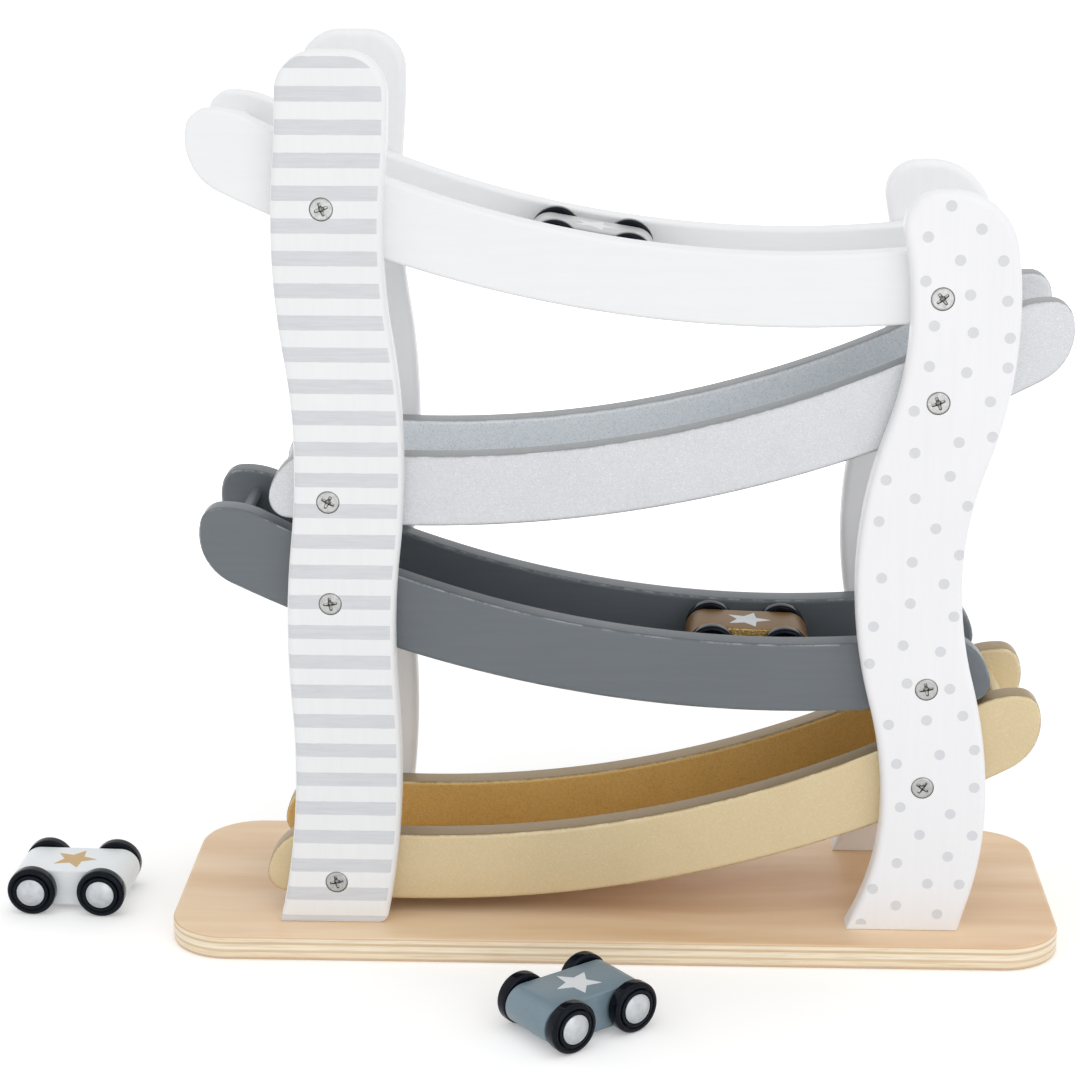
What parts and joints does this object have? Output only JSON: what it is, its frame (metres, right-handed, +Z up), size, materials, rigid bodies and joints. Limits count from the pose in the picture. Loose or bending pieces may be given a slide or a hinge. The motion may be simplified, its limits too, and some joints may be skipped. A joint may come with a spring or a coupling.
{
  "type": "click clack track toy",
  "caption": "Wooden ramp toy: curved tracks run back and forth between wavy uprights on a plywood board, with small star cars that roll down and tumble from track to track.",
  "frame": {"origin": "middle of the base board's underside, on the floor that the toy stands on", "axes": "+X to the right along the tracks, +Y from the front uprights to the back ones, +Z up"},
  "size_m": [0.3849, 0.1837, 0.32],
  "materials": {
    "birch_ply": "clear matt varnish over birch plywood, its layers seen on the edge",
    "striped_print": "plywood painted matt white all over, its outer face printed with level light grey stripes",
    "dotted_print": "plywood painted matt white all over, its outer face printed with small light grey dots",
    "white_paint": "satin white paint on wood",
    "silver_paint": "satin silver paint with fine metallic grains on wood",
    "dark_paint": "satin dark grey paint on wood",
    "gold_paint": "satin pale gold paint with fine metallic grains on wood",
    "car_silver": "silver paint on wood with a white star",
    "car_bronze": "bronze paint on wood with a pale star",
    "car_white": "white paint on wood with a gold star",
    "car_blue": "grey-blue paint on wood with a white star",
    "black_gloss": "gloss black",
    "cap_metal": "bright domed caps",
    "axle_steel": "plain drawn steel",
    "screw_steel": "nickel plated, cross recess"
  },
  "bodies": {
    "frame": {"base_board": "birch_ply", "base_screws": "screw_steel", "side_screws": "screw_steel", "left_front_upright": "striped_print", "left_back_upright": "striped_print", "right_front_upright": "dotted_print", "right_back_upright": "dotted_print", "white_front_side": "white_paint", "white_back_side": "white_paint", "white_floor": "white_paint", "white_end_wall": "white_paint", "silver_front_side": "silver_paint", "silver_back_side": "silver_paint", "silver_floor": "silver_paint", "silver_end_wall": "silver_paint", "dark_front_side": "dark_paint", "dark_back_side": "dark_paint", "dark_floor": "dark_paint", "dark_end_wall": "dark_paint", "gold_front_side": "gold_paint", "gold_back_side": "gold_paint", "gold_floor": "gold_paint", "gold_end_wall": "gold_paint"},
    "silver_car": {"silver_car_body": "car_silver"},
    "silver_car_front_wheelset": {"silver_car_front_axle": "axle_steel", "silver_car_front_wheels": "black_gloss", "silver_car_front_caps": "cap_metal"},
    "silver_car_rear_wheelset": {"silver_car_rear_axle": "axle_steel", "silver_car_rear_wheels": "black_gloss", "silver_car_rear_caps": "cap_metal"},
    "bronze_car": {"bronze_car_body": "car_bronze"},
    "bronze_car_front_wheelset": {"bronze_car_front_axle": "axle_steel", "bronze_car_front_wheels": "black_gloss", "bronze_car_front_caps": "cap_metal"},
    "bronze_car_rear_wheelset": {"bronze_car_rear_axle": "axle_steel", "bronze_car_rear_wheels": "black_gloss", "bronze_car_rear_caps": "cap_metal"},
    "white_car": {"white_car_body": "car_white"},
    "white_car_front_wheelset": {"white_car_front_axle": "axle_steel", "white_car_front_wheels": "black_gloss", "white_car_front_caps": "cap_metal"},
    "white_car_rear_wheelset": {"white_car_rear_axle": "axle_steel", "white_car_rear_wheels": "black_gloss", "white_car_rear_caps": "cap_metal"},
    "blue_car": {"blue_car_body": "car_blue"},
    "blue_car_front_wheelset": {"blue_car_front_axle": "axle_steel", "blue_car_front_wheels": "black_gloss", "blue_car_front_caps": "cap_metal"},
    "blue_car_rear_wheelset": {"blue_car_rear_axle": "axle_steel", "blue_car_rear_wheels": "black_gloss", "blue_car_rear_caps": "cap_metal"}
  },
  "joints": [
    {"name": "silver_car_run", "type": "hinge", "parent": "frame", "child": "silver_car", "pos_m": [0.0603, 0, 0.6513], "axis": [0, 1, 0], "range_deg": [-13, 14.6]},
    {"name": "silver_car_front_spin", "type": "hinge", "parent": "silver_car", "child": "silver_car_front_wheelset", "pos_m": [0.0033, 0, 0.247], "axis": [0, 1, 0], "continuous": true},
    {"name": "silver_car_rear_spin", "type": "hinge", "parent": "silver_car", "child": "silver_car_rear_wheelset", "pos_m": [-0.02232, 0, 0.25145], "axis": [0, 1, 0], "continuous": true},
    {"name": "bronze_car_run", "type": "hinge", "parent": "frame", "child": "bronze_car", "pos_m": [0.0603, 0, 0.513], "axis": [0, 1, 0], "range_deg": [-4.9, 22.7]},
    {"name": "bronze_car_front_spin", "type": "hinge", "parent": "bronze_car", "child": "bronze_car_front_wheelset", "pos_m": [0.06062, 0, 0.1047], "axis": [0, 1, 0], "continuous": true},
    {"name": "bronze_car_rear_spin", "type": "hinge", "parent": "bronze_car", "child": "bronze_car_rear_wheelset", "pos_m": [0.03463, 0, 0.10551], "axis": [0, 1, 0], "continuous": true},
    {"name": "white_car_run", "type": "slide", "parent": "frame", "child": "white_car", "axis": [0.9994, -0.0349, 0], "range_m": [-0.08, 0.012]},
    {"name": "white_car_front_spin", "type": "hinge", "parent": "white_car", "child": "white_car_front_wheelset", "pos_m": [-0.18931, -0.00385, 0.009], "axis": [0.0349, 0.9994, 0], "continuous": true},
    {"name": "white_car_rear_spin", "type": "hinge", "parent": "white_car", "child": "white_car_rear_wheelset", "pos_m": [-0.21529, -0.00295, 0.009], "axis": [0.0349, 0.9994, 0], "continuous": true},
    {"name": "blue_car_run", "type": "slide", "parent": "frame", "child": "blue_car", "axis": [-0.7826, -0.6225, 0], "range_m": [-0.024, 0.08]},
    {"name": "blue_car_front_spin", "type": "hinge", "parent": "blue_car", "child": "blue_car_front_wheelset", "pos_m": [-0.02157, -0.11069, 0.009], "axis": [0.6225, -0.7826, 0], "continuous": true},
    {"name": "blue_car_rear_spin", "type": "hinge", "parent": "blue_car", "child": "blue_car_rear_wheelset", "pos_m": [-0.00123, -0.09451, 0.009], "axis": [0.6225, -0.7826, 0], "continuous": true}
  ]
}
